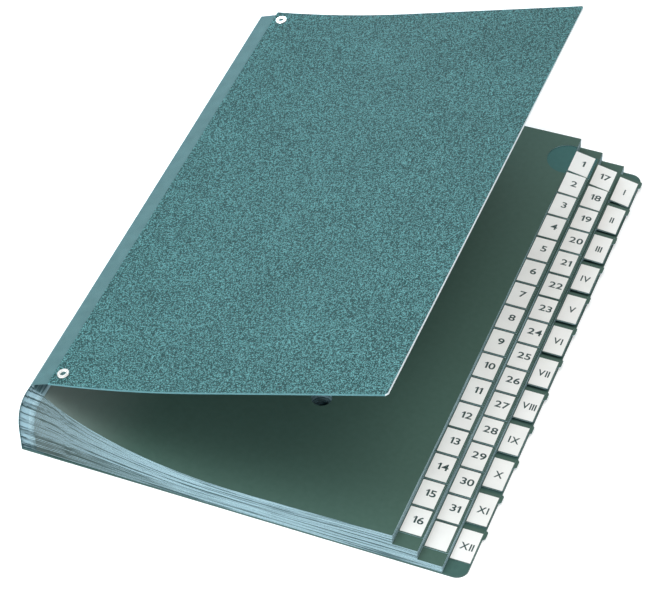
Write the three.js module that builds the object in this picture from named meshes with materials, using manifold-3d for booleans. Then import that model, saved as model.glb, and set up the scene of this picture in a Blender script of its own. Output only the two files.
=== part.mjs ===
// Desk sorter: a book of card dividers with stepped index tabs, bound between two boards by an
// expanding spine. The front cover stands half open on its cloth hinge. Millimetres, +Z up.
// Inside this file the book starts at the spine: X runs to the tabs, Y from foot to head.
import * as THREE from 'three';
import Module from 'manifold-3d';
import { mergeVertices } from 'three/addons/utils/BufferGeometryUtils.js';

// Sheet sizes
const BOOK_HEIGHT = 340;
const MAIN_WIDTH = 222.8;
const TAB_WIDTH = 14.4;
const TAB_COLUMNS = 3;
const BOARD_THICKNESS = 1.2;
const LEAF_THICKNESS = 0.3;
const CLOTH_THICKNESS = 0.4;
const SEAT_GAP = 0.06;

// Index tabs: two columns of day tabs, one column of month tabs
const DAYS = 31;
const DAYS_PER_COLUMN = 16;
const DAY_HEAD_MARGIN = 10.8;
const DAY_FOOT_MARGIN = 9.2;
const MONTHS = 12;
const MONTH_HEAD_MARGIN = 7.4;
const MONTH_FOOT_MARGIN = 8.6;
const TAB_ROOT = 1;
const TAB_GAP = 0.3;
const TAB_DROOP = 0.2;
const TAB_DROOP_DECAY = 0.45;
const DROOPED_TABS = 4;
const LABEL_INSET = 0.7;
const LABEL_MARGIN = 0.9;
const LABEL_THICKNESS = 0.25;
const MONTH_SLEEVE_GAP = 1.6;
const MONTH_SLEEVE_FOOT = 2.4;
const MONTH_LABEL_RIGHT = 0.4;
const EAR_WIDTH = 1.6;
const EAR_LENGTH = 7;
const SLEEVE_CORNER = 2;
const SLEEVE_CORNER_SIDES = 3;
const BACK_COVER_INSET = 1.6;

// Leaf stack
const STACK_PITCH_MIDDLE = 0.38;
const STACK_PITCH_TABS = 0.42;
const STACK_CLEARANCE = 0.25;
const FAN_LENGTH = 129.2;
const FAN_START_HANDLE = 25;
const FAN_END_HANDLE = 48;
const FAN_STEPS = 9;

// Thumb cut in the guard leaf and the view hole through every leaf
const THUMB_RADIUS = 13;
const THUMB_INSET = 2.2;
const VIEW_HOLE_RADIUS = 6;
const VIEW_HOLE_X = 150.6;
const VIEW_HOLE_Y = 80.5;
const HOLE_SIDES = 12;
const THUMB_SIDES = 28;

// Spine: straight at the foot, then a curve that leans over the leaves, more at the front end
const SPINE_STRAIGHT = 14;
const SPINE_STEPS = 9;
const SPINE_HEIGHT_FRONT = 57.3;
const SPINE_HEIGHT_BACK = 55.2;
const SPINE_LEAN_FRONT = THREE.MathUtils.degToRad(31.7);
const SPINE_LEAN_BACK = THREE.MathUtils.degToRad(22.3);
const PLEAT_DROOP = 1.4;
const PLEAT_DEPTH = 7;
const PLEAT_PLY = 0.2;
const PLEAT_GAP = 0.1;
const PLEAT_FOOT = 0.9;
const PLEAT_HEAD = 0.3;
const PLEAT_SPANS = 6;
const LEAF_SEAT = 3.6;
const LEAF_TONGUE = 4.3;
const BINDING_MARGIN = 14;

// Front cover: a board riveted on the cloth hinge, bent a little where it is lifted
const HINGE_STRIP = 12;
const HINGE_GAP = 0.6;
const COVER_WIDTH = 208;
const COVER_OVERHANG = 1;
const STRIP_SLOPE = THREE.MathUtils.degToRad(24);
const COVER_SLOPE_START = THREE.MathUtils.degToRad(13);
const COVER_SLOPE_END = THREE.MathUtils.degToRad(20.6);
const COVER_BEND_LENGTH = 90;
const COVER_BEND_STEPS = 8;
const COVER_TWIST = THREE.MathUtils.degToRad(1.75);
const COVER_CORNER = 1.5;
const BACK_CORNER = 7;
const CORNER_SIDES = 5;

// Eyelets
const EYELET_X = 6;
const EYELET_END = 8.2;
const EYELET_FLANGE = 3.6;
const EYELET_BARREL = 2.5;
const EYELET_BORE = 1.6;
const EYELET_LIP = 0.6;
const EYELET_GAP = 0.3;
const EYELET_SIDES = 20;

// Cutting solids reach past what they cut by these margins
const CUTTER_HEIGHT = 400;
const CUTTER_LENGTH = 12;
const CUTTER_MARGIN = 10;
const CUTTER_LAP = 1;
const WELD_DISTANCE = 1e-5;
const LEAST_STEP = 1e-6;

const wasm = await Module();
wasm.setup();

const lerp = THREE.MathUtils.lerp;
const bookWidth = MAIN_WIDTH + TAB_COLUMNS * TAB_WIDTH;
const leafCount = 1 + 2 * DAYS_PER_COLUMN + MONTHS;
const dayPitch = (BOOK_HEIGHT - DAY_HEAD_MARGIN - DAY_FOOT_MARGIN) / DAYS_PER_COLUMN;
const monthPitch = (BOOK_HEIGHT - MONTH_HEAD_MARGIN - MONTH_FOOT_MARGIN) / MONTHS;

// Closed mesh to solid and back
function toSolid(geometry) {
  const plain = geometry.clone();
  plain.deleteAttribute('normal');
  plain.deleteAttribute('uv');
  const merged = mergeVertices(plain, WELD_DISTANCE);
  return new wasm.Manifold(new wasm.Mesh({
    numProp: 3,
    vertProperties: new Float32Array(merged.attributes.position.array),
    triVerts: new Uint32Array(merged.index.array),
  }));
}

function toGeometry(solid) {
  const mesh = solid.getMesh();
  const geometry = new THREE.BufferGeometry();
  geometry.setAttribute('position', new THREE.BufferAttribute(mesh.vertProperties, 3));
  geometry.setIndex(new THREE.BufferAttribute(mesh.triVerts, 1));
  geometry.computeVertexNormals();
  return geometry;
}

// A solid between two outlines with the same number of points, one at each end of the book.
// An outline runs along its underside and back along its top, and both are split the same way,
// so that twisted sheets stay a constant distance apart. A sheet with narrow folds takes several
// spans, so that its plies stay apart too.
function loft(frontOutline, backOutline, yFront, yBack, spans = 1) {
  const count = frontOutline.length;
  const positions = [];
  for (let span = 0; span <= spans; span += 1) {
    frontOutline.forEach((p, i) => {
      const at = p.clone().lerp(backOutline[i], span / spans);
      positions.push(at.x, lerp(yFront, yBack, span / spans), at.y);
    });
  }
  const index = [];
  THREE.ShapeUtils.triangulateShape(frontOutline, []).forEach(([a, b, c]) => {
    index.push(a, b, c);
  });
  THREE.ShapeUtils.triangulateShape(backOutline, []).forEach(([a, b, c]) => {
    index.push(spans * count + a, spans * count + c, spans * count + b);
  });
  for (let near = 0; near < spans * count; near += count) {
    const far = near + count;
    for (let i = 0; i < count; i += 1) {
      const j = (i + 1) % count;
      if (i < count / 2) {
        index.push(near + i, far + i, far + j, near + i, far + j, near + j);
      } else {
        index.push(near + i, far + i, near + j, far + i, far + j, near + j);
      }
    }
  }
  const geometry = new THREE.BufferGeometry();
  geometry.setAttribute('position', new THREE.Float32BufferAttribute(positions, 3));
  geometry.setIndex(index);
  return geometry;
}

// The outline of a sheet that follows a centre line, counter-clockwise in the X-Z plane
function sheetOutline(line, below, above) {
  const normals = line.map((p, i) => {
    const before = line[Math.max(i - 1, 0)];
    const after = line[Math.min(i + 1, line.length - 1)];
    const along = new THREE.Vector2().subVectors(after, before).normalize();
    return new THREE.Vector2(-along.y, along.x);
  });
  const offset = (distance) => line.map((p, i) => p.clone().addScaledVector(normals[i], distance));
  return [...offset(-below), ...offset(above).reverse()];
}

// A plan outline pushed straight up through the whole book, to cut sheets to shape
function planPrism(shape) {
  const geometry = new THREE.ExtrudeGeometry(shape, { depth: CUTTER_HEIGHT, bevelEnabled: false });
  geometry.translate(0, 0, -CUTTER_HEIGHT / 2);
  return toSolid(geometry);
}

function discShape(x, y, radius, sides) {
  const points = [];
  for (let i = 0; i < sides; i += 1) {
    const angle = ((i + 0.5) / sides) * 2 * Math.PI;
    points.push(new THREE.Vector2(x + radius * Math.cos(angle), y + radius * Math.sin(angle)));
  }
  return new THREE.Shape(points);
}

// Spine curve: its lean, radius and arc length, for a share of the way from foot to head
function spineForm(head) {
  const lean = lerp(SPINE_LEAN_FRONT, SPINE_LEAN_BACK, head);
  const height = lerp(SPINE_HEIGHT_FRONT, SPINE_HEIGHT_BACK, head);
  const radius = (height - SPINE_STRAIGHT) / Math.sin(lean);
  return { lean, radius, arc: SPINE_STRAIGHT + radius * lean };
}

function spinePoint(arc, depth, head) {
  const { radius } = spineForm(head);
  const turn = Math.max(0, arc - SPINE_STRAIGHT) / radius;
  const straight = Math.min(arc, SPINE_STRAIGHT);
  const inward = -turn * PLEAT_DROOP;
  return new THREE.Vector2(
    radius * (1 - Math.cos(turn)) + depth * Math.cos(inward),
    BOARD_THICKNESS + straight + radius * Math.sin(turn) + depth * Math.sin(inward),
  );
}

function inwardDirection(arc, head) {
  const turn = Math.max(0, arc - SPINE_STRAIGHT) / spineForm(head).radius;
  return new THREE.Vector2(Math.cos(turn * PLEAT_DROOP), -Math.sin(turn * PLEAT_DROOP));
}

// Pleats: one valley for each leaf, between an inner fold below it and one above it
function pleatArc(step, head) {
  const { arc } = spineForm(head);
  return lerp(PLEAT_FOOT, arc - PLEAT_HEAD, step / (2 * leafCount));
}

function pleatShift(head) {
  const halfPitch = pleatArc(1, head) - pleatArc(0, head);
  return (PLEAT_PLY / 2) * (PLEAT_DEPTH / halfPitch);
}

function pleatRoot(head) {
  return CLOTH_THICKNESS + PLEAT_GAP + pleatShift(head);
}

function gussetOutline(head) {
  const shift = pleatShift(head);
  const side = (offset) => {
    const points = [];
    for (let step = 0; step <= 2 * leafCount; step += 1) {
      const foldDepth = step % 2 === 0 ? PLEAT_DEPTH : 0;
      points.push(spinePoint(pleatArc(step, head), pleatRoot(head) + foldDepth + offset, head));
    }
    return points;
  };
  return [...side(shift), ...side(-shift).reverse()];
}

function makeGusset() {
  return loft(gussetOutline(0), gussetOutline(1), 0, BOOK_HEIGHT, PLEAT_SPANS);
}

// Outer spine cloth: lies on the back board, turns up and follows the spine to the hinge
function spineClothLine(head) {
  const half = CLOTH_THICKNESS / 2;
  const { arc } = spineForm(head);
  const line = [
    new THREE.Vector2(BINDING_MARGIN, BOARD_THICKNESS + SEAT_GAP + half),
    new THREE.Vector2(half + SEAT_GAP, BOARD_THICKNESS + SEAT_GAP + half),
  ];
  for (let i = 0; i <= SPINE_STEPS; i += 1) {
    const at = lerp(SPINE_STRAIGHT, arc, i / SPINE_STEPS);
    line.push(spinePoint(at, half, head));
  }
  return line;
}

function makeSpineCloth() {
  const half = CLOTH_THICKNESS / 2;
  const outline = (head) => sheetOutline(spineClothLine(head), half, half);
  return loft(outline(0), outline(1), 0, BOOK_HEIGHT);
}

// Front cover line, from the hinge: cloth strip, then the board's own bend. It is the top of the
// cloth strip and the underside of the board.
function hingePoint(head) {
  return spinePoint(spineForm(head).arc, 0, head);
}

function coverPoint(distance, head) {
  const twist = COVER_TWIST * head;
  const point = hingePoint(head);
  const strip = Math.min(distance, HINGE_STRIP);
  const move = (length, slope) => {
    point.x += length * Math.cos(slope - twist);
    point.y += length * Math.sin(slope - twist);
  };
  move(strip, STRIP_SLOPE);
  let left = distance - strip;
  const step = COVER_BEND_LENGTH / COVER_BEND_STEPS;
  for (let i = 0; i < COVER_BEND_STEPS && left > 0; i += 1) {
    const slope = lerp(COVER_SLOPE_START, COVER_SLOPE_END, (i + 0.5) / COVER_BEND_STEPS);
    move(Math.min(step, left), slope);
    left -= step;
  }
  if (left > 0) {
    move(left, COVER_SLOPE_END);
  }
  return point;
}

function coverSlope(distance, head) {
  const share = Math.max(0, distance - HINGE_STRIP) / COVER_BEND_LENGTH;
  return lerp(COVER_SLOPE_START, COVER_SLOPE_END, Math.min(share, 1)) - COVER_TWIST * head;
}

function coverLine(from, to, head) {
  const stops = [from];
  const step = COVER_BEND_LENGTH / COVER_BEND_STEPS;
  for (let i = 0; i <= COVER_BEND_STEPS; i += 1) {
    const at = HINGE_STRIP + i * step;
    if (at > from + LEAST_STEP && at < to - LEAST_STEP) {
      stops.push(at);
    }
  }
  stops.push(to);
  return stops.map((at) => coverPoint(at, head));
}

const coverHead = (y) => y / BOOK_HEIGHT;
const eyeletRows = [
  { name: 'eyelet_foot', y: EYELET_END - COVER_OVERHANG },
  { name: 'eyelet_head', y: BOOK_HEIGHT + COVER_OVERHANG - EYELET_END },
];

function eyeletPlace(y) {
  const head = coverHead(y);
  const at = HINGE_STRIP + EYELET_X;
  const point = coverPoint(at, head);
  return { x: point.x, z: point.y, slope: coverSlope(at, head) };
}

function eyeletHole(y, radius) {
  const { x, z, slope } = eyeletPlace(y);
  const pin = new THREE.CylinderGeometry(radius, radius, CUTTER_LENGTH, HOLE_SIDES);
  pin.rotateX(Math.PI / 2);
  pin.rotateY(-slope);
  pin.translate(x, y, z);
  return toSolid(pin);
}

function makeCoverSheet(from, to, low, high, overhang) {
  const outline = (y) => sheetOutline(coverLine(from, to, coverHead(y)), low, high);
  const y0 = -overhang;
  const y1 = BOOK_HEIGHT + overhang;
  let solid = toSolid(loft(outline(y0), outline(y1), y0, y1));
  eyeletRows.forEach(({ y }) => {
    solid = solid.subtract(eyeletHole(y, EYELET_BARREL + EYELET_GAP));
  });
  return solid;
}

function makeFrontCover() {
  const high = BOARD_THICKNESS + SEAT_GAP;
  const end = HINGE_STRIP + COVER_WIDTH;
  const solid = makeCoverSheet(HINGE_STRIP, end, -SEAT_GAP, high, COVER_OVERHANG);
  const r = COVER_CORNER;
  const y0 = -COVER_OVERHANG;
  const y1 = BOOK_HEIGHT + COVER_OVERHANG;
  const footEdge = coverPoint(end, 0).x;
  const headEdge = coverPoint(end, 1).x;
  const plan = new THREE.Shape();
  plan.moveTo(-CUTTER_MARGIN, y0 - CUTTER_LAP);
  plan.lineTo(footEdge - r, y0 - CUTTER_LAP);
  plan.lineTo(footEdge - r, y0);
  plan.lineTo(footEdge, y0 + r);
  plan.lineTo(footEdge + CUTTER_MARGIN, y0 + r);
  plan.lineTo(footEdge + CUTTER_MARGIN, y1 - r);
  plan.lineTo(headEdge, y1 - r);
  plan.lineTo(headEdge - r, y1);
  plan.lineTo(headEdge - r, y1 + CUTTER_LAP);
  plan.lineTo(-CUTTER_MARGIN, y1 + CUTTER_LAP);
  return toGeometry(solid.intersect(planPrism(plan)));
}

function makeCoverStrip() {
  const to = HINGE_STRIP + BINDING_MARGIN;
  return toGeometry(makeCoverSheet(HINGE_GAP, to, CLOTH_THICKNESS, 0, 0));
}

// Eyelet: a rolled ring above the board, a barrel through it and a ring below the cloth
function makeEyelet() {
  const top = BOARD_THICKNESS + SEAT_GAP + EYELET_GAP;
  const bottom = -CLOTH_THICKNESS - EYELET_GAP;
  const profile = [
    [EYELET_BORE, bottom - EYELET_LIP],
    [EYELET_FLANGE, bottom - EYELET_LIP],
    [EYELET_FLANGE, bottom],
    [EYELET_BARREL, bottom],
    [EYELET_BARREL, top],
    [EYELET_FLANGE, top],
    [EYELET_FLANGE - EYELET_LIP / 2, top + EYELET_LIP],
    [EYELET_BORE + EYELET_LIP / 2, top + EYELET_LIP],
    [EYELET_BORE, top],
    [EYELET_BORE, bottom - EYELET_LIP],
  ].map(([r, z]) => new THREE.Vector2(r, z));
  const ring = new THREE.LatheGeometry(profile, EYELET_SIDES);
  ring.rotateX(Math.PI / 2);
  return ring;
}

// Back cover: one flat board under everything, its outer corners rounded
function makeBackCover() {
  const plan = new THREE.Shape();
  const r = BACK_CORNER;
  const right = bookWidth - BACK_COVER_INSET;
  plan.moveTo(SEAT_GAP, 0);
  plan.lineTo(right - r, 0);
  plan.absarc(right - r, r, r, -Math.PI / 2, 0, false);
  plan.absarc(right - r, BOOK_HEIGHT - r, r, 0, Math.PI / 2, false);
  plan.lineTo(SEAT_GAP, BOOK_HEIGHT);
  return new THREE.ExtrudeGeometry(plan, {
    depth: BOARD_THICKNESS,
    bevelEnabled: false,
    curveSegments: CORNER_SIDES,
  });
}

// Leaf line: seated in its pleat, fanning down to the stack, then level to the tabs
function leafLine(level, edge, tabEdge, droop, head) {
  const arc = pleatArc(2 * level + 1, head);
  const seat = pleatRoot(head) + pleatShift(head) + LEAF_SEAT;
  const start = spinePoint(arc, seat, head);
  const free = spinePoint(arc, seat + LEAF_TONGUE, head);
  const floor = BOARD_THICKNESS + STACK_CLEARANCE;
  const middle = new THREE.Vector2(FAN_LENGTH, floor + level * STACK_PITCH_MIDDLE);
  const fan = new THREE.CubicBezierCurve(
    free,
    free.clone().addScaledVector(inwardDirection(arc, head), FAN_START_HANDLE),
    new THREE.Vector2(FAN_LENGTH - FAN_END_HANDLE, middle.y),
    middle,
  );
  const level0 = floor + level * STACK_PITCH_TABS;
  const line = [start, ...fan.getPoints(FAN_STEPS), new THREE.Vector2(MAIN_WIDTH, level0)];
  if (edge > MAIN_WIDTH && droop > 0) {
    line.push(new THREE.Vector2(edge, level0));
  }
  if (tabEdge > MAIN_WIDTH) {
    line.push(new THREE.Vector2(tabEdge, level0 - (tabEdge - edge) * droop));
  }
  return line;
}

// Tab and label outlines on the plan
function tabRect(x0, x1, y0, y1) {
  return new THREE.Shape([
    new THREE.Vector2(x0, y0),
    new THREE.Vector2(x1, y0),
    new THREE.Vector2(x1, y1),
    new THREE.Vector2(x0, y1),
  ]);
}

// A month tab: its card steps out as an ear at the head end, and the sleeve below is narrower
function monthTabShape(x0, x1, y0, y1) {
  const sleeve = x1 - EAR_WIDTH;
  const r = SLEEVE_CORNER;
  const points = [new THREE.Vector2(x0, y0)];
  for (let i = 0; i <= SLEEVE_CORNER_SIDES; i += 1) {
    const angle = (i / SLEEVE_CORNER_SIDES - 1) * (Math.PI / 2);
    points.push(new THREE.Vector2(sleeve - r + r * Math.cos(angle), y0 + r + r * Math.sin(angle)));
  }
  points.push(new THREE.Vector2(sleeve, y1 - EAR_LENGTH));
  points.push(new THREE.Vector2(x1, y1 - EAR_LENGTH + EAR_WIDTH));
  points.push(new THREE.Vector2(x1, y1 - EAR_WIDTH / 2));
  points.push(new THREE.Vector2(x1 - EAR_WIDTH / 2, y1));
  points.push(new THREE.Vector2(x0, y1));
  return new THREE.Shape(points);
}

function makeLeaf({ level, edge, tab }) {
  const half = LEAF_THICKNESS / 2;
  const tabEdge = tab ? tab.x1 : edge;
  const droop = tab ? tab.droop : 0;
  const line = (head) => leafLine(level, edge, tabEdge, droop, head);
  const sheet = (below, above) => {
    const outline = (head) => sheetOutline(line(head), below, above);
    return toSolid(loft(outline(0), outline(1), 0, BOOK_HEIGHT));
  };
  let plan = planPrism(tabRect(-CUTTER_MARGIN, edge, -CUTTER_LAP, BOOK_HEIGHT + CUTTER_LAP));
  if (tab) {
    plan = plan.add(planPrism(tab.shape));
  }
  plan = plan.subtract(planPrism(discShape(VIEW_HOLE_X, VIEW_HOLE_Y, VIEW_HOLE_RADIUS, HOLE_SIDES)));
  if (!tab) {
    const y = BOOK_HEIGHT - DAY_HEAD_MARGIN - dayPitch / 2;
    plan = plan.subtract(planPrism(discShape(edge - THUMB_INSET, y, THUMB_RADIUS, THUMB_SIDES)));
  }
  let leaf = sheet(half, half).intersect(plan);
  if (tab) {
    leaf = leaf.add(sheet(0, half + LABEL_THICKNESS).intersect(planPrism(tab.label)));
  }
  return toGeometry(leaf);
}

// The dividers from the top down: a guard leaf, then days 1 to 31, a blank, and the months
function dividerList() {
  const list = [{ name: 'guard_leaf', edge: MAIN_WIDTH, tab: null }];
  for (let column = 0; column < TAB_COLUMNS; column += 1) {
    const month = column === TAB_COLUMNS - 1;
    const count = month ? MONTHS : DAYS_PER_COLUMN;
    const pitch = month ? monthPitch : dayPitch;
    const margin = month ? MONTH_HEAD_MARGIN : DAY_HEAD_MARGIN;
    const edge = MAIN_WIDTH + column * TAB_WIDTH;
    for (let i = 0; i < count; i += 1) {
      const y1 = BOOK_HEIGHT - margin - i * pitch - TAB_GAP / 2;
      const y0 = y1 - pitch + TAB_GAP;
      const x1 = edge + TAB_WIDTH;
      const sleeveLow = y0 + MONTH_SLEEVE_GAP;
      const labelLow = month ? sleeveLow + MONTH_SLEEVE_FOOT : y0 + LABEL_MARGIN;
      const labelRight = month ? x1 - EAR_WIDTH - MONTH_LABEL_RIGHT : x1 - LABEL_INSET;
      const shape = month
        ? monthTabShape(edge - TAB_ROOT, x1, sleeveLow, y1)
        : tabRect(edge - TAB_ROOT, x1, y0, y1);
      const label = tabRect(edge + LABEL_INSET, labelRight, labelLow, y1 - LABEL_MARGIN);
      const number = column * DAYS_PER_COLUMN + i + 1;
      const day = number > DAYS ? 'divider_blank' : `divider_day_${String(number).padStart(2, '0')}`;
      const name = month ? `divider_month_${String(i + 1).padStart(2, '0')}` : day;
      const droop = i < DROOPED_TABS ? TAB_DROOP * TAB_DROOP_DECAY ** i : 0;
      list.push({ name, edge, tab: { x1, shape, label, droop } });
    }
  }
  list.forEach((entry, i) => {
    entry.level = list.length - 1 - i;
  });
  return list;
}

const teal = { color: 0x3b8286, roughness: 0.6, metalness: 0 };
const materials = {
  board: () => new THREE.MeshStandardMaterial(teal),
  card: () => new THREE.MeshStandardMaterial({ color: 0x33493f, roughness: 0.45, metalness: 0 }),
  cloth: () => new THREE.MeshStandardMaterial({ color: 0x5f9aa3, roughness: 0.8, metalness: 0 }),
  pleats: () => new THREE.MeshStandardMaterial({ color: 0x8fb3bd, roughness: 0.7, metalness: 0 }),
  nickel: () => new THREE.MeshStandardMaterial({ color: 0xd6d8d6, roughness: 0.25, metalness: 1 }),
};

const sorter = new THREE.Group();
const book = new THREE.Group();
book.position.set(-bookWidth / 2, -BOOK_HEIGHT / 2, 0);
sorter.add(book);

function addPiece(name, geometry, material) {
  const mesh = new THREE.Mesh(geometry, material);
  mesh.name = name;
  book.add(mesh);
  return mesh;
}

addPiece('back_cover', makeBackCover(), materials.board());
addPiece('spine_cloth', makeSpineCloth(), materials.cloth());
addPiece('spine_gusset', makeGusset(), materials.pleats());
dividerList().forEach((entry) => addPiece(entry.name, makeLeaf(entry), materials.card()));
addPiece('hinge_strip', makeCoverStrip(), materials.cloth());
addPiece('front_cover', makeFrontCover(), materials.board());
eyeletRows.forEach(({ name, y }) => {
  const eyelet = addPiece(name, makeEyelet(), materials.nickel());
  const { x, z, slope } = eyeletPlace(y);
  eyelet.position.set(x, y, z);
  eyelet.rotation.y = -slope;
});

export default sorter;
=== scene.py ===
import bpy
import math
from mathutils import Matrix, Vector


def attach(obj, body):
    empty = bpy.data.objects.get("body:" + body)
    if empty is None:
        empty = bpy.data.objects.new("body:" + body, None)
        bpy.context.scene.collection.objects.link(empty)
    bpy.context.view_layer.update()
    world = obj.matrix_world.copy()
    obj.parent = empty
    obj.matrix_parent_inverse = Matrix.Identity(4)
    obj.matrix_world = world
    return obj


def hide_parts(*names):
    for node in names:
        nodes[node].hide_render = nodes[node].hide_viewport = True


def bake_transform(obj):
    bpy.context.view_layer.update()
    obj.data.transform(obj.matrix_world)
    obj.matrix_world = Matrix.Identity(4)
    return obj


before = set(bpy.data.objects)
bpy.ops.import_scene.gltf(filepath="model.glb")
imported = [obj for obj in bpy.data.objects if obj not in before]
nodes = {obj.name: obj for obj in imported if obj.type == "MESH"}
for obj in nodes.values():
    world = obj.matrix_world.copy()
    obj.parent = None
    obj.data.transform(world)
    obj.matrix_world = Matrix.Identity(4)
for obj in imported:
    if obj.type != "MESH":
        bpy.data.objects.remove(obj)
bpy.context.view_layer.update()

# The camera stands in front of the foot edge, a little to the right, and looks down at 45 degrees.
# A long lens keeps the tab columns nearly parallel.
camera_place = (0.38053, -0.98178, 1.07803)
azimuth, elevation, roll = (math.radians(angle) for angle in (21.8107, 45.3934, -0.749))
camera_data = bpy.data.cameras.new("camera")
camera_data.sensor_width = 36
camera_data.lens = 138.22
camera_data.clip_start = 0.1
camera_data.clip_end = 20
camera = bpy.data.objects.new("camera", camera_data)
bpy.context.scene.collection.objects.link(camera)
camera.matrix_world = (
    Matrix.Translation(camera_place)
    @ Matrix.Rotation(azimuth, 4, "Z")
    @ Matrix.Rotation(math.pi / 2 - elevation, 4, "X")
    @ Matrix.Rotation(roll, 4, "Z")
)
bpy.context.scene.camera = camera
bpy.context.scene.view_settings.view_transform = "Standard"

# Soft studio light: an even pale surround, a small softbox at the back left that glances off the
# boards, one at the front left, one above and one near the cover. The surround shows white.
surround_colour = (0.93, 0.97, 1.0, 1)
surround_strength = 0.55
softboxes = (
    # name, place, size in metres, power in watts, colour
    ("softbox_back", (-0.36, 0.37, 0.345), 0.3, 1.5, (0.66, 0.88, 1.0)),
    ("softbox_front", (-0.35, -1.5, 0.75), 0.9, 13, (0.86, 0.95, 1.0)),
    ("softbox_above", (0.45, -0.35, 1.5), 1.0, 12, (1.0, 0.99, 0.97)),
    ("softbox_near", (-0.16, -0.20, 0.55), 0.3, 1.9, (0.80, 0.93, 1.0)),
)


def white_rays(net):
    """The share of a ray that sees white: camera, glossy and transmission rays."""
    path = net.nodes.new("ShaderNodeLightPath")
    total = path.outputs["Is Camera Ray"]
    for name in ("Is Glossy Ray", "Is Transmission Ray"):
        add = net.nodes.new("ShaderNodeMath")
        add.operation = "ADD"
        add.use_clamp = True
        net.links.new(total, add.inputs[0])
        net.links.new(path.outputs[name], add.inputs[1])
        total = add.outputs[0]
    return total


world = bpy.data.worlds.new("studio")
bpy.context.scene.world = world
world.use_nodes = True
net = world.node_tree
net.nodes.clear()
output = net.nodes.new("ShaderNodeOutputWorld")
surround = net.nodes.new("ShaderNodeBackground")
surround.inputs["Color"].default_value = surround_colour
surround.inputs["Strength"].default_value = surround_strength
backdrop = net.nodes.new("ShaderNodeBackground")
backdrop.inputs["Color"].default_value = (1, 1, 1, 1)
backdrop.inputs["Strength"].default_value = 1
seen = net.nodes.new("ShaderNodeMixShader")
net.links.new(white_rays(net), seen.inputs["Fac"])
net.links.new(surround.outputs["Background"], seen.inputs[1])
net.links.new(backdrop.outputs["Background"], seen.inputs[2])
net.links.new(seen.outputs["Shader"], output.inputs["Surface"])

for name, place, size, power, tint in softboxes:
    lamp_data = bpy.data.lights.new(name, "AREA")
    lamp_data.shape = "SQUARE"
    lamp_data.size = size
    lamp_data.energy = power
    lamp_data.color = tint
    lamp = bpy.data.objects.new(name, lamp_data)
    bpy.context.scene.collection.objects.link(lamp)
    lamp.location = place
    lamp.rotation_mode = "QUATERNION"
    lamp.rotation_quaternion = Vector(place).to_track_quat("Z", "Y")

# The floor is a wide sheet of white paper, which takes the sorter's soft shadow.
# It glows a little where it is seen, so that it meets the white surround.
floor_size = 6
floor_drop = 0.0002
floor_glow = 0.3


def new_material(name, roughness, specular=0.5):
    material = bpy.data.materials.new(name)
    material.use_nodes = True
    surface = material.node_tree.nodes["Principled BSDF"]
    surface.inputs["Roughness"].default_value = roughness
    surface.inputs["Specular IOR Level"].default_value = specular
    return material, material.node_tree, surface


def mix_colours(net, share, first, second):
    """A colour between two others; each is a colour or the socket that gives it."""
    mix = net.nodes.new("ShaderNodeMix")
    mix.data_type = "RGBA"
    net.links.new(share, mix.inputs[0])
    for socket, colour in ((mix.inputs[6], first), (mix.inputs[7], second)):
        if isinstance(colour, tuple):
            socket.default_value = (*colour, 1)
        else:
            net.links.new(colour, socket)
    return mix.outputs[2]


bpy.ops.object.select_all(action="DESELECT")
bpy.ops.mesh.primitive_plane_add(size=floor_size, location=(0, 0, -floor_drop))
floor = bpy.context.object
floor.name = "floor"
bpy.ops.object.transform_apply(location=True, rotation=True, scale=True)
floor_paper, net, surface = new_material("floor_paper", 0.9, 0.1)
surface.inputs["Base Color"].default_value = (0.88, 0.88, 0.88, 1)
surface.inputs["Emission Strength"].default_value = floor_glow
glow = mix_colours(net, white_rays(net), (0, 0, 0), (1, 1, 1))
net.links.new(glow, surface.inputs["Emission Color"])
floor.data.materials.append(floor_paper)

# Both boards are grey board covered with teal paper that is embossed with a fine pebble grain.
# The cut rim of the front board is teal at its ends, and a painted highlight makes it pale along its free
# edge.
grain_scale = 1200
grain_dark = (0.004, 0.036, 0.036, 1)
grain_light = (0.112, 0.290, 0.294, 1)
grain_depth = 0.0005
cloud_share = 0.55
cell_depth = -1.1
blotch_scale = 26
blotch_share = 0.12
rim_teal = (0.10, 0.25, 0.27)
# the pale colour of the painted highlight on the rim's free edge
painted_rim_highlight = (0.78, 0.84, 0.86)


def object_noise(net, scale, detail):
    place = net.nodes.new("ShaderNodeTexCoord")
    noise = net.nodes.new("ShaderNodeTexNoise")
    noise.inputs["Scale"].default_value = scale
    noise.inputs["Detail"].default_value = detail
    net.links.new(place.outputs["Object"], noise.inputs["Vector"])
    return noise.outputs["Fac"]


def map_range(net, value, start, end, to_start=0.0, to_end=1.0):
    ramp = net.nodes.new("ShaderNodeMapRange")
    ramp.inputs["From Min"].default_value = start
    ramp.inputs["From Max"].default_value = end
    ramp.inputs["To Min"].default_value = to_start
    ramp.inputs["To Max"].default_value = to_end
    net.links.new(value, ramp.inputs["Value"])
    return ramp.outputs["Result"]


def facing(net, axis):
    """How far the piece's surface faces along one of its own axes."""
    place = net.nodes.new("ShaderNodeTexCoord")
    split = net.nodes.new("ShaderNodeSeparateXYZ")
    net.links.new(place.outputs["Normal"], split.inputs["Vector"])
    return split.outputs[axis]


def add_bump(net, surface, height, strength, depth):
    bump = net.nodes.new("ShaderNodeBump")
    bump.inputs["Strength"].default_value = strength
    bump.inputs["Distance"].default_value = depth
    net.links.new(height, bump.inputs["Height"])
    net.links.new(bump.outputs["Normal"], surface.inputs["Normal"])


def add_group(net, tree):
    group = net.nodes.new("ShaderNodeGroup")
    group.node_tree = tree
    return group


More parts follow.
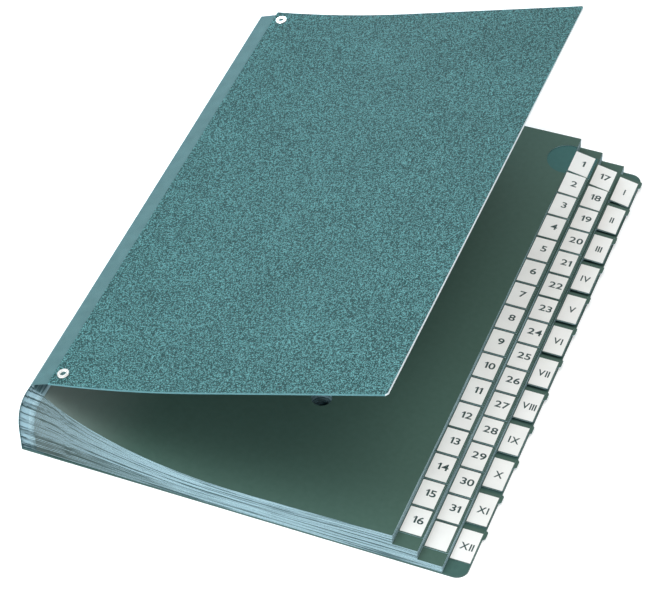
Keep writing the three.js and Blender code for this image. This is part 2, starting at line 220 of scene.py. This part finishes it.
pebble = bpy.data.node_groups.new("pebble_grain", "ShaderNodeTree")
pebble.interface.new_socket(name="Scale", in_out="INPUT", socket_type="NodeSocketFloat")
pebble.interface.new_socket(name="Dark", in_out="INPUT", socket_type="NodeSocketColor")
pebble.interface.new_socket(name="Light", in_out="INPUT", socket_type="NodeSocketColor")
pebble.interface.new_socket(name="Color", in_out="OUTPUT", socket_type="NodeSocketColor")
pebble.interface.new_socket(name="Height", in_out="OUTPUT", socket_type="NodeSocketFloat")
entry = pebble.nodes.new("NodeGroupInput")
leave = pebble.nodes.new("NodeGroupOutput")
place = pebble.nodes.new("ShaderNodeTexCoord")
cells = pebble.nodes.new("ShaderNodeTexVoronoi")
cells.feature = "SMOOTH_F1"
cells.inputs["Smoothness"].default_value = 0.35
cells.inputs["Randomness"].default_value = 1
cloud = pebble.nodes.new("ShaderNodeTexNoise")
cloud.inputs["Detail"].default_value = 3
cloud.inputs["Roughness"].default_value = 0.6
cloud_scale = pebble.nodes.new("ShaderNodeMath")
cloud_scale.operation = "MULTIPLY"
cloud_scale.inputs[1].default_value = cloud_share
raised = pebble.nodes.new("ShaderNodeMath")
raised.operation = "MULTIPLY_ADD"
raised.inputs[1].default_value = cell_depth
mottle = pebble.nodes.new("ShaderNodeMath")
mottle.operation = "MULTIPLY_ADD"
mottle.inputs[1].default_value = blotch_share
link = pebble.links.new
link(place.outputs["Object"], cells.inputs["Vector"])
link(place.outputs["Object"], cloud.inputs["Vector"])
link(entry.outputs["Scale"], cells.inputs["Scale"])
link(entry.outputs["Scale"], cloud_scale.inputs[0])
link(cloud_scale.outputs[0], cloud.inputs["Scale"])
link(cells.outputs["Distance"], raised.inputs[0])
link(cloud.outputs["Fac"], raised.inputs[2])
link(raised.outputs[0], leave.inputs["Height"])
link(object_noise(pebble, blotch_scale, 2), mottle.inputs[0])
link(raised.outputs[0], mottle.inputs[2])
shade = map_range(pebble, mottle.outputs[0], -0.12, 0.42)
colour = mix_colours(pebble, shade, entry.outputs["Dark"], entry.outputs["Light"])
link(colour, leave.inputs["Color"])

# The share of a surface that is a sheet's cut edge and not its face, from the way it faces
edges = bpy.data.node_groups.new("cut_edge", "ShaderNodeTree")
edges.interface.new_socket(name="Edge", in_out="OUTPUT", socket_type="NodeSocketFloat")
leave = edges.nodes.new("NodeGroupOutput")
upright = edges.nodes.new("ShaderNodeMath")
upright.operation = "ABSOLUTE"
edges.links.new(facing(edges, "Z"), upright.inputs[0])
edges.links.new(map_range(edges, upright.outputs[0], 0.75, 0.6), leave.inputs["Edge"])


def add_grain(net):
    grain = add_group(net, pebble)
    grain.inputs["Scale"].default_value = grain_scale
    grain.inputs["Dark"].default_value = grain_dark
    grain.inputs["Light"].default_value = grain_light
    return grain


grained_board, net, surface = new_material("grained_board", 0.4, 0.15)
grain = add_grain(net)
# painted highlight: the rim is mixed toward pale where it faces +X, along the free edge
highlight_side = map_range(net, facing(net, "X"), 0.4, 0.7)
rim_with_highlight = mix_colours(net, highlight_side, rim_teal, painted_rim_highlight)
rim = add_group(net, edges).outputs["Edge"]
board = mix_colours(net, rim, grain.outputs["Color"], rim_with_highlight)
net.links.new(board, surface.inputs["Base Color"])
add_bump(net, surface, grain.outputs["Height"], 1, grain_depth)
nodes["front_cover"].data.materials[0] = grained_board

# The back board has the same grained paper below. Inside it is lined with smooth dark green card,
# which shows beyond the tabs.
lining_dark = (0.040, 0.090, 0.078)
lining_light = (0.058, 0.122, 0.106)
fibre_scale = 300
lined_board, net, surface = new_material("lined_board", 0.45, 0.15)
grain = add_grain(net)
below = map_range(net, facing(net, "Z"), -0.4, -0.7)
lining = mix_colours(net, object_noise(net, fibre_scale, 5), lining_dark, lining_light)
board = mix_colours(net, below, lining, grain.outputs["Color"])
net.links.new(board, surface.inputs["Base Color"])
raised = net.nodes.new("ShaderNodeMath")
raised.operation = "MULTIPLY"
net.links.new(grain.outputs["Height"], raised.inputs[0])
net.links.new(below, raised.inputs[1])
add_bump(net, surface, raised.outputs[0], 1, grain_depth)
nodes["back_cover"].data.materials[0] = lined_board

# The binding cloth is one strip of fine teal cloth, glued on the back board, round the pleats and
# under the edge of the front board, where the eyelets hold it. It bends at the hinge line.
cloth_dark = (0.034, 0.092, 0.096)
cloth_light = (0.068, 0.152, 0.160)
thread_scale = 900
book_cloth, net, surface = new_material("book_cloth", 0.62, 0.2)
surface.inputs["Sheen Weight"].default_value = 0.1
place = net.nodes.new("ShaderNodeTexCoord")
weave = net.nodes.new("ShaderNodeMath")
weave.operation = "MULTIPLY"
for slot, direction in enumerate("XY"):
    thread = net.nodes.new("ShaderNodeTexWave")
    thread.bands_direction = direction
    thread.inputs["Scale"].default_value = thread_scale
    thread.inputs["Distortion"].default_value = 0.6
    net.links.new(place.outputs["Object"], thread.inputs["Vector"])
    net.links.new(thread.outputs["Fac"], weave.inputs[slot])
worn = mix_colours(net, object_noise(net, 140, 4), cloth_dark, cloth_light)
net.links.new(worn, surface.inputs["Base Color"])
add_bump(net, surface, weave.outputs[0], 0.35, 0.0002)

# Sizes in metres. The cloth's line starts at the glued margin, goes up the spine's straight foot,
# then round an arc that leans in, over the pleats' crown and up under the cover.
book_height = 0.34
book_half_width = 0.133
board_thickness = 0.0012
seat_gap = 0.00006
cloth_thickness = 0.0004
glued_margin = 0.014
spine_straight = 0.014
spine_height_foot, spine_height_head = 0.0573, 0.0552
lean_foot, lean_head = 31.7, 22.3
arc_steps = 12
crown_slope, cover_slope, cover_twist = 24, 13.6, 1.75
crown_length = 0.012
crown_steps = (0.0012, 0.004, 0.008, 0.0118)
cover_steps = (0.0005, 0.005, 0.010, 0.014)
cloth_rows = 18
half = cloth_thickness / 2


def cloth_section(head):
    """The cloth's middle line as (x, z) points, at the foot (head = 0) or the head (head = 1)."""
    lean = math.radians(lean_foot + (lean_head - lean_foot) * head)
    height = spine_height_foot + (spine_height_head - spine_height_foot) * head
    radius = (height - spine_straight) / math.sin(lean)
    arc_foot = board_thickness + spine_straight
    board_line = board_thickness + seat_gap + half
    section = [(glued_margin, board_line), (half + seat_gap, board_line)]
    for step in range(arc_steps + 1):
        turn = lean * step / arc_steps
        section.append((
            radius * (1 - math.cos(turn)) + half * math.cos(turn),
            arc_foot + radius * math.sin(turn) - half * math.sin(turn),
        ))
    x = radius * (1 - math.cos(lean))
    z = arc_foot + radius * math.sin(lean)
    for angle, length, steps in ((crown_slope, crown_length, crown_steps), (cover_slope, 0, cover_steps)):
        slope = math.radians(angle) - math.radians(cover_twist) * head
        for distance in steps:
            section.append((
                x + distance * math.cos(slope) + half * math.sin(slope),
                z + distance * math.sin(slope) - half * math.cos(slope),
            ))
        x += length * math.cos(slope)
        z += length * math.sin(slope)
    return section


foot_section = cloth_section(0)
head_section = cloth_section(1)
columns = len(foot_section) - 1
bpy.ops.object.select_all(action="DESELECT")
bpy.ops.mesh.primitive_grid_add(x_subdivisions=columns, y_subdivisions=cloth_rows, size=1)
binding = bpy.context.object
binding.name = "binding_cloth"
for v in binding.data.vertices:
    step = round((v.co.x + 0.5) * columns)
    head = v.co.y + 0.5
    (x0, z0), (x1, z1) = foot_section[step], head_section[step]
    v.co = (
        x0 + (x1 - x0) * head - book_half_width,
        (head - 0.5) * book_height,
        z0 + (z1 - z0) * head,
    )
thick = binding.modifiers.new("thickness", "SOLIDIFY")
thick.thickness = cloth_thickness
thick.offset = 0
bpy.ops.object.modifier_apply(modifier="thickness")
bpy.ops.object.mode_set(mode="EDIT")
bpy.ops.mesh.select_all(action="SELECT")
bpy.ops.mesh.normals_make_consistent(inside=False)
bpy.ops.object.mode_set(mode="OBJECT")
bpy.ops.object.shade_smooth_by_angle(angle=math.radians(30))
binding.data.materials.append(book_cloth)
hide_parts("spine_cloth", "hinge_strip")
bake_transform(binding)

# The stack's cut edges show as fine streaks that run with the leaves: the level in the stack is
# the height, as a share of the guard leaf's height at that place.
streak_dark = (0.035, 0.085, 0.095)
streak_light = (0.400, 0.570, 0.630)
streak_stretch = (16, 16, 230)
curve_gain = 10
streaks = bpy.data.node_groups.new("cut_streaks", "ShaderNodeTree")
streaks.interface.new_socket(name="Streak", in_out="OUTPUT", socket_type="NodeSocketFloat")
leave = streaks.nodes.new("NodeGroupOutput")
place = streaks.nodes.new("ShaderNodeTexCoord")
split = streaks.nodes.new("ShaderNodeSeparateXYZ")
crest = streaks.nodes.new("ShaderNodeFloatCurve")
# the guard leaf's line at the foot end, lower and upper side together, from left to right
crest_line = sorted({
    (round(v.co.x, 6), round(v.co.z, 6))
    for v in nodes["guard_leaf"].data.vertices
    if abs(v.co.y + book_height / 2) < 1e-5
})
curve = crest.mapping.curves[0]
curve.points[0].location = (0, crest_line[0][1] * curve_gain)
curve.points[1].location = (1, crest_line[-1][1] * curve_gain)
for x, z in crest_line[2:-2:4]:
    curve.points.new((x + book_half_width) / (2 * book_half_width), z * curve_gain)
crest.mapping.update()
level = streaks.nodes.new("ShaderNodeMath")
level.operation = "DIVIDE"
along = streaks.nodes.new("ShaderNodeCombineXYZ")
stretch = streaks.nodes.new("ShaderNodeVectorMath")
stretch.operation = "MULTIPLY"
stretch.inputs[1].default_value = streak_stretch
strand = streaks.nodes.new("ShaderNodeTexNoise")
strand.inputs["Scale"].default_value = 1
strand.inputs["Detail"].default_value = 3
strand.inputs["Roughness"].default_value = 0.65
link = streaks.links.new
link(place.outputs["Object"], split.inputs["Vector"])
across = map_range(streaks, split.outputs["X"], -book_half_width, book_half_width)
link(across, crest.inputs["Value"])
link(split.outputs["Z"], level.inputs[0])
link(crest.outputs["Value"], level.inputs[1])
link(split.outputs["X"], along.inputs["X"])
link(split.outputs["Y"], along.inputs["Y"])
link(level.outputs[0], along.inputs["Z"])
link(along.outputs["Vector"], stretch.inputs[0])
link(stretch.outputs[0], strand.inputs["Vector"])
link(map_range(streaks, strand.outputs["Fac"], 0.39, 0.53), leave.inputs["Streak"])

# The gusset is binding paper, folded into one narrow pleat for each divider.
# Its folds show at both ends of the spine as fine streaks.
pleat_paper, net, surface = new_material("pleat_paper", 0.6)
streak = add_group(net, streaks).outputs["Streak"]
net.links.new(mix_colours(net, streak, streak_dark, streak_light), surface.inputs["Base Color"])
nodes["spine_gusset"].data.materials[0] = pleat_paper

# The leaves are smooth card, dark green on their faces and paler where they are cut, with a painted grey
# sheen on their faces beside the spine. Day 1 is cut from teal card, which shows in the guard leaf's
# thumb cut.
face_dark = (0.052, 0.098, 0.078)
face_light = (0.068, 0.122, 0.098)
# the grey of the painted sheen, and the x where it fades out and where it is strongest
painted_sheen_grey = (0.210, 0.245, 0.225)
sheen_fades_at, sheen_full_at = -0.055, -0.125
first_dark = (0.034, 0.105, 0.098)
first_light = (0.046, 0.130, 0.122)
dividers = ["divider_day_%02d" % day for day in range(1, 32)] + ["divider_blank"]
dividers += ["divider_month_%02d" % month for month in range(1, 13)]


def make_card(name, dark, light):
    card, net, surface = new_material(name, 0.5, 0.15)
    place = net.nodes.new("ShaderNodeTexCoord")
    split = net.nodes.new("ShaderNodeSeparateXYZ")
    net.links.new(place.outputs["Object"], split.inputs["Vector"])
    # painted sheen: the leaf face is mixed toward grey as it nears the spine
    sheen_share = net.nodes.new("ShaderNodeMapRange")
    sheen_share.interpolation_type = "SMOOTHSTEP"
    sheen_share.inputs["From Min"].default_value = sheen_fades_at
    sheen_share.inputs["From Max"].default_value = sheen_full_at
    sheen_share.inputs["To Max"].default_value = 0.75
    net.links.new(split.outputs["X"], sheen_share.inputs["Value"])
    fibre = object_noise(net, fibre_scale, 5)
    face = mix_colours(net, fibre, dark, light)
    face = mix_colours(net, sheen_share.outputs["Result"], face, painted_sheen_grey)
    streak = add_group(net, streaks).outputs["Streak"]
    cut = mix_colours(net, streak, streak_dark, streak_light)
    rim = add_group(net, edges).outputs["Edge"]
    net.links.new(mix_colours(net, rim, face, cut), surface.inputs["Base Color"])
    add_bump(net, surface, fibre, 0.12, 0.0001)
    return card


leaf_card = make_card("leaf_card", face_dark, face_light)
for name in ["guard_leaf"] + dividers:
    nodes[name].data.materials[0] = leaf_card
nodes["divider_day_01"].data.materials[0] = make_card("first_card", first_dark, first_light)

# Each tab carries a white paper label under clear film, on the divider's raised plate.
# The day labels are numbered 1 to 31 and one is blank; the months have Roman numerals.
paper_dark = (0.82, 0.80, 0.77)
paper_light = (0.92, 0.90, 0.86)
label_paper, net, surface = new_material("label_paper", 0.5)
surface.inputs["Coat Weight"].default_value = 0.5
surface.inputs["Coat Roughness"].default_value = 0.12
paper = mix_colours(net, object_noise(net, 90, 3), paper_dark, paper_light)
net.links.new(paper, surface.inputs["Base Color"])

ink_dark = (0.012, 0.034, 0.032)
ink_light = (0.030, 0.066, 0.062)
label_ink, net, surface = new_material("label_ink", 0.45)
ink = mix_colours(net, object_noise(net, 900, 2), ink_dark, ink_light)
net.links.new(ink, surface.inputs["Base Color"])

# Sizes in metres. A label lies on its tab at left, right, and the distances of its two ends below
# the tab's top. A numeral has its centre across the label, a shift to the head and its width.
roman = ("I", "II", "III", "IV", "V", "VI", "VII", "VIII", "IX", "X", "XI", "XII")
tabs_start = 0.0898
tab_width = 0.0144
days_per_column = 16
day_pitch, day_head = 0.020, 0.01095
month_pitch, month_head = 0.027, 0.00755
day_label = (0.0006, 0.0130, 0.0007, 0.0190)
month_label = (0.0006, 0.0122, 0.0028, 0.0246)
day_numeral = (0.58, 0.0009, 1.2)
month_numeral = (0.53, -0.0005, 0.92)
lowest_plate = 0.00185
leaf_step = 0.00042
label_thickness = 0.00034
label_sink = 0.00006
ink_lift = 0.00013
numeral_size = 0.0068
numeral_weight = 0.00012
numeral_drop = 0.0024
sign_gap = 0.00055
flag_length, flag_width = 0.0016, 0.00055
flag_left, flag_below, flag_reach = 0.0003, 0.0009, 0.0009
droop_first, droop_decay, drooped_tabs, droop_root = 0.2, 0.45, 4, 0.0007

label_list = []
for slot, name in enumerate(dividers[:2 * days_per_column]):
    column, row = divmod(slot, days_per_column)
    words = "" if name == "divider_blank" else str(slot + 1)
    tab_top = book_height / 2 - day_head - row * day_pitch
    label_list.append((name, column, row, tab_top, words, day_label, day_numeral))
for row, name in enumerate(dividers[2 * days_per_column:]):
    tab_top = book_height / 2 - month_head - row * month_pitch
    label_list.append((name, 2, row, tab_top, roman[row], month_label, month_numeral))


def make_sign(sign, width):
    """One sign as a mesh, with its left and right end. A 1 gets its flag, a short slanting bar."""
    bpy.ops.object.text_add()
    glyph = bpy.context.object
    glyph.data.body = sign
    glyph.data.size = numeral_size
    glyph.data.offset = numeral_weight
    glyph.scale = (width, 1, 1)
    bpy.ops.object.convert(target="MESH")
    bpy.ops.object.transform_apply(location=True, rotation=True, scale=True)
    start = min(v.co.x for v in glyph.data.vertices)
    end = max(v.co.x for v in glyph.data.vertices)
    if sign == "1":
        crown = max(v.co.y for v in glyph.data.vertices)
        bpy.ops.mesh.primitive_plane_add(size=1, location=(start - flag_left, crown - flag_below, 0))
        flag = bpy.context.object
        flag.scale = (flag_length, flag_width, 1)
        flag.rotation_euler[2] = math.radians(40)
        bpy.ops.object.transform_apply(location=True, rotation=True, scale=True)
        glyph.select_set(True)
        bpy.context.view_layer.objects.active = glyph
        bpy.ops.object.join()
        start -= flag_reach
    return glyph, start, end


for level, (name, column, row, tab_top, words, label_box, numeral) in enumerate(label_list):
    edge = tabs_start + column * tab_width
    left, right = edge + label_box[0], edge + label_box[1]
    high, low = tab_top - label_box[2], tab_top - label_box[3]
    centre, shift, width = numeral
    plate = lowest_plate + (len(label_list) - 1 - level) * leaf_step
    bpy.ops.object.select_all(action="DESELECT")
    bpy.ops.mesh.primitive_cube_add(
        size=1, location=((left + right) / 2, (low + high) / 2, plate - label_sink)
    )
    label = bpy.context.object
    label.name = name.replace("divider", "label")
    label.scale = (right - left, high - low, label_thickness)
    bpy.ops.object.transform_apply(location=True, rotation=True, scale=True)
    label.data.materials.append(label_paper)
    signs = [make_sign(sign, width) for sign in words]
    reach = sum(end - start for glyph, start, end in signs) + sign_gap * (len(signs) - 1)
    pen = left + (right - left) * centre - reach / 2
    for glyph, start, end in signs:
        for v in glyph.data.vertices:
            v.co.x += pen - start
            v.co.y += (low + high) / 2 + shift - numeral_drop
            v.co.z = plate + ink_lift
        pen += end - start + sign_gap
        glyph.data.materials.clear()
        glyph.data.materials.append(label_ink)
        bpy.ops.object.select_all(action="DESELECT")
        glyph.select_set(True)
        label.select_set(True)
        bpy.context.view_layer.objects.active = label
        bpy.ops.object.join()
    # the tabs nearest the head bend down a little toward their outer edge
    if row < drooped_tabs:
        for v in label.data.vertices:
            v.co.z -= (v.co.x - left + droop_root) * droop_first * droop_decay ** row
    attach(label, "block")

# The eyelets are rolled nickel-plated rings that clamp the front board on the cloth strip.
# The plating is bright, with fine scuffs.
nickel_dark = (0.72, 0.72, 0.70)
nickel_light = (0.86, 0.86, 0.84)
nickel_plate, net, surface = new_material("nickel_plate", 0.2)
surface.inputs["Metallic"].default_value = 1
scuff = object_noise(net, 1500, 2)
net.links.new(map_range(net, scuff, 0, 1, 0.12, 0.32), surface.inputs["Roughness"])
net.links.new(mix_colours(net, scuff, nickel_dark, nickel_light), surface.inputs["Base Color"])
for name in ("eyelet_foot", "eyelet_head"):
    nodes[name].data.materials[0] = nickel_plate
